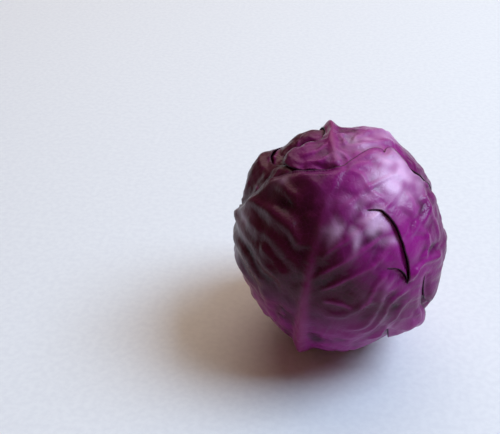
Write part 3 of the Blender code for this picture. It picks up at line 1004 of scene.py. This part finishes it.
front = dict(
    name="front_leaf_blade", seed=79,
    azimuth=-19, elevation=12, lean=8,
    form=0.985, facet=0.8, hug=5,
    outline=((-9, 58), (-5, 60), (-3.2, 61.5), (-1, 68), (3, 77), (8, 82), (12, 82.5), (14, 81),
             (13.6, 85), (16, 88), (23, 87.5), (31, 85), (38, 81.5), (48, 80), (60, 75), (76, 61),
             (88, 38), (91, 12), (86, -12), (77, -10), (68.5, 12), (74, -10), (78, -18), (79, -28),
             (70, -36), (58, -43), (54.5, -30), (52, -45), (42, -56), (28, -72), (8, -84),
             (-10, -85), (-34, -78), (-58, -68), (-80, -48), (-92, -26), (-90, -8), (-74, 3),
             (-61, 12), (-55, 18), (-50, 25), (-45, 32), (-40, 38.5), (-34, 44), (-28, 49),
             (-18, 54)),
    rib=((-84, 3, 3.5, 6), (-56, 5.3, 6.2, 4.4), (-38, 5.6, 4.4, 3.8), (-22, 5.9, 2.8, 3.4),
         (8, 3.2, 1.5, 3), (20, 1.7, 1.1, 2.6), (35, -0.8, 0.8, 2.4), (58, -3, 0.3, 2)),
    swell=((-32, -44, -3.0, 18), (-15, 30, -2.0, 8), (72, -31, 5.0, 12), (30, 30, -1.2, 7)),
    stands_off=((75, -28, 15), (60, -42, 12)), side_veins=[], puffed_from=(-70, 20),
    # Whitened patches, partly wax and partly painted highlights on the upper right, the tongue and the
    # fan, where the leaf faces the window.
    bloom_and_highlight=((28, 68, 18, 1.0), (27, 39, 7, 1.0), (21, 29, 6, 0.7), (12, 46, 10, 0.4), (38, 34, 5, 0.5),
           (41, 6, 7, 0.26), (38, -5, 9, 0.22), (46, -16, 9, 0.3), (56, -30, 12, 0.3), (28, -52, 14, 0.12),
           (8, 30, 7, 0.5), (-50, 6, 14, 0.3), (-34, 38, 10, 0.2)),
    folds=[
        (1.5, 3.2, ((-47, 31), (-43, 36), (-33, 38), (-26, 37), (-17, 35), (-10, 30))),
        (1.2, 2.8, ((-25, 48), (-18, 48), (-12, 46), (-6, 45), (-3, 43))),
        (2.4, 3.6, ((-60, 12), (-53, 17), (-41, 22), (-30, 23), (-21, 23), (-14, 22), (-7, 17), (0, 10))),
        (2.2, 3.6, ((-66, 6), (-52, 12), (-35, 12), (-23, 13), (-15, 12), (-9, 8), (-3, 2), (2, -4))),
        (1.6, 3.4, ((-28, 6), (-21, 5), (-11, 0), (-5, -3))),
        (2.4, 4.0, ((-76, 4), (-62, 2), (-52, 3), (-43, 3), (-30, 2), (-18, -3), (-7, -6), (0, -10))),
        (2.4, 4.2, ((-78, -12), (-62, -10), (-52, -8), (-40, -7), (-28, -11), (-16, -16), (-4, -22))),
        (2.0, 4.2, ((-74, -28), (-62, -25), (-50, -22), (-38, -20), (-26, -23), (-12, -30))),
        (1.4, 4.0, ((-60, -44), (-48, -40), (-34, -36), (-20, -38), (-8, -46))),
        (1.2, 2.6, ((-38, -14), (-30, -16), (-21, -19), (-10, -24))),
        (0.7, 1.5, ((5, 36), (8, 41), (11, 46), (15, 55), (21, 62), (28, 70))),
        (0.7, 1.5, ((-2, 59), (8, 60), (15, 55), (20, 53), (30, 52))),
        (1.1, 1.5, ((6, 12), (10, 20), (17, 29), (22, 38), (26, 45), (32, 56))),
        (0.9, 1.5, ((6, 3), (13, 11), (20, 19), (29, 30), (35, 37))),
        (0.8, 1.5, ((8, -6), (18, 4), (26, 12), (33, 19), (38, 30), (41, 34))),
        (1.2, 1.9, ((30, -10), (36, -1), (37, 6), (39, 11), (41, 17))),
        (1.5, 2.2, ((14, -18), (27, -12), (34, -5), (40, 0), (42, 8), (47, 15))),
        (1.5, 2.2, ((26, -26), (37, -20), (41, -11), (43, 2), (47, 6), (52, 12))),
        (1.4, 2.0, ((34, -30), (43, -22), (46, -12), (48, -3), (52, 2), (60, 7))),
        (1.3, 2.2, ((40, -38), (50, -30), (54, -20), (56, -10), (62, 0))),
        (0.9, 1.8, ((12, -9), (18, -7), (24, -7), (31, -9))),
        (-2.8, 2.0, ((56, -16), (54.5, -24), (53, -32), (52, -42), (49, -50))),
        (1.2, 3.0, ((10, -34), (20, -30), (30, -31), (38, -36))),
        (1.0, 2.6, ((8, -48), (20, -46), (32, -48), (42, -52))),
        (2.4, 2.4, ((55, 10), (57, 14), (58, 18), (62, 22), (70, 25), (80, 28))),
        (-1.6, 3.0, ((62, 28), (70, 32), (78, 34))),
        (0.9, 1.8, ((49, 64), (54, 59), (59, 53), (67, 48), (71, 42), (76, 32))),
        (1.5, 2.6, ((47, 62), (53, 60), (56, 55), (55, 49), (51, 43))),
        (1.2, 2.4, ((36, 60), (42, 56), (44, 50), (48, 46))),
        (1.0, 2.0, ((58, 42), (62, 36), (64, 30), (60, 24))),
    ],
    pillows=((12, 0.8), (5, 0.08)), crumple=((19, 0.6), (7, 0.12)),
    tear=((19.7, 44.3), (25.6, 46), (33.8, 43.4), (40.2, 38), (47.1, 29.1), (52.6, 20.5), (55.9, 9.0)),
    branch=((55.9, 9.0), (53, 14), (47, 18), (40.6, 17.7)),
)
TEAR_STEP = 0.8
tear_part = smooth_line(front["tear"], TEAR_STEP)
branch_part = smooth_line(front["branch"], TEAR_STEP)
front["tear_line"] = np.concatenate((tear_part, branch_part[1:]))
TEAR_CORNER = len(tear_part) / len(front["tear_line"])


def tear_normals(line, share):
    """Across the tear towards its right-hand side, at a share of its length."""
    runs = np.diff(line, axis=0)
    lengths = np.hypot(runs[:, 0], runs[:, 1])
    middles = (np.cumsum(lengths) - lengths / 2) / lengths.sum()
    right_x, right_y = runs[:, 1] / lengths, -runs[:, 0] / lengths
    return np.interp(share, middles, right_x), np.interp(share, middles, right_y)


UPPER_LIP_LIFT = 0.0021
UPPER_LIP_SINK = 0.0013
TONGUE_SINK = 0.0008
TONGUE_LIFT = 0.0007
OVERHANG = 1.1


def tear_lips(leaf, x, y, margin, twins):
    """How the blade parts at its tear: shifts in degrees, lift in metres, and distance to an edge.

    The tongue is the torn piece inside the curve. Along the tear the outer lip rises and leans over
    it; past the corner, along the branch, the tongue's own edge rises instead.
    """
    line = leaf["tear_line"]
    reach, share = line_distance(line, x, y)
    tongue = inside(line, x, y)
    first = len(leaf["edge"])
    tongue[first:first + len(line)] = True
    tongue[twins] = False
    opening = np.interp(share, (0, 0.18, 0.45, 0.66, TEAR_CORNER, 0.84, 1), (0, 0.8, 1, 0.8, 0.3, 0, 0))
    branch_opening = np.interp(share, (0, TEAR_CORNER - 0.04, 0.82, 0.92, 1), (0, 0, 1, 0.7, 0))
    raised = np.where(
        tongue,
        (-TONGUE_SINK * opening + TONGUE_LIFT * branch_opening) * np.exp(-(reach / 3.5) ** 2),
        (UPPER_LIP_LIFT * opening - UPPER_LIP_SINK * branch_opening) * np.exp(-(reach / 5.0) ** 2),
    )
    overhang = OVERHANG * np.clip(2 * opening - 1, 0, 1) * np.exp(-(reach / 3.0) ** 2)
    overhang = np.where(tongue, 0, overhang)
    right_x, right_y = tear_normals(line, share)
    return overhang * right_x, overhang * right_y, raised, np.minimum(margin, reach)


front_piece = make_leaf(front, outer_leaf)
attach(front_piece, "root")
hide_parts("front_leaf")

# The table, the light and the camera
# A plain pale table top of painted board, under a large soft window to the right and slightly
# behind. The room behind gives a weaker, wider and warmer light, and fills the rest from all sides.

FLOOR_SIZE = 6.0
WINDOW_AZIMUTH = 100
WINDOW_ELEVATION = 53
WINDOW_DISTANCE = 3.0
WINDOW_SIZE = 1.7
WINDOW_WATTS = 104.0
ROOM_AZIMUTH = 180
ROOM_ELEVATION = 50
ROOM_DISTANCE = 3.0
ROOM_SIZE = 3.4
ROOM_WATTS = 48.0
CAMERA_DISTANCE = 0.5349
CAMERA_ELEVATION = 36.0
CAMERA_PITCH = -34.77
CAMERA_YAW = 7.67
CAMERA_LENS = 60
ROOM_FILL = 0.14


def floor_material():
    """Painted board, satin: near white, with the faint 4 mm mottle that a roller leaves."""
    material, tree, shader, place = new_material("painted_board_satin")
    roller = add_node(
        tree, "ShaderNodeTexNoise", values={"Scale": 1 / 0.004, "Detail": 3.0}, links={"Vector": place}
    ).outputs["Fac"]
    colour = shaded(tree, linear("#e6e8ea"), linear("#eceeef"), roller, 0.3, 0.7)
    tree.links.new(colour, shader.inputs["Base Color"])
    shader.inputs["Roughness"].default_value = 0.55
    return material


half = FLOOR_SIZE / 2
floor = take_shape(
    "table_top", [(-half, -half, 0), (half, -half, 0), (half, half, 0), (-half, half, 0)],
    [(0, 1, 2, 3)], floor_material(),
)

middle = Vector((0, 0, HEAD_CENTRE_HEIGHT))


def soft_light(name, towards, distance, size, watts, colour):
    """A square panel of light that faces the head from a direction."""
    panel = bpy.data.lights.new(name, "AREA")
    panel.shape = "SQUARE"
    panel.size = size
    panel.energy = watts
    panel.color = linear(colour)[:3]
    holder = bpy.data.objects.new(name, panel)
    direction = Vector(towards)
    holder.location = middle + direction * distance
    holder.rotation_euler = direction.to_track_quat("Z", "Y").to_euler()
    bpy.context.scene.collection.objects.link(holder)


soft_light("window", facing(WINDOW_AZIMUTH, WINDOW_ELEVATION), WINDOW_DISTANCE, WINDOW_SIZE,
           WINDOW_WATTS, "#cce4ff")
soft_light("warm_room", facing(ROOM_AZIMUTH, ROOM_ELEVATION), ROOM_DISTANCE, ROOM_SIZE,
           ROOM_WATTS, "#fff0dc")

world = bpy.data.worlds.new("room")
world.use_nodes = True
world.node_tree.nodes["Background"].inputs["Color"].default_value = linear("#ffc6a4")
world.node_tree.nodes["Background"].inputs["Strength"].default_value = ROOM_FILL
bpy.context.scene.world = world
bpy.context.scene.view_settings.view_transform = "Standard"

camera = bpy.data.objects.new("camera", bpy.data.cameras.new("camera"))
camera.data.lens = CAMERA_LENS
camera.location = middle + Vector(facing(0, CAMERA_ELEVATION)) * CAMERA_DISTANCE
camera.rotation_euler = (math.radians(90 + CAMERA_PITCH), 0, math.radians(CAMERA_YAW))
bpy.context.scene.collection.objects.link(camera)
bpy.context.scene.camera = camera
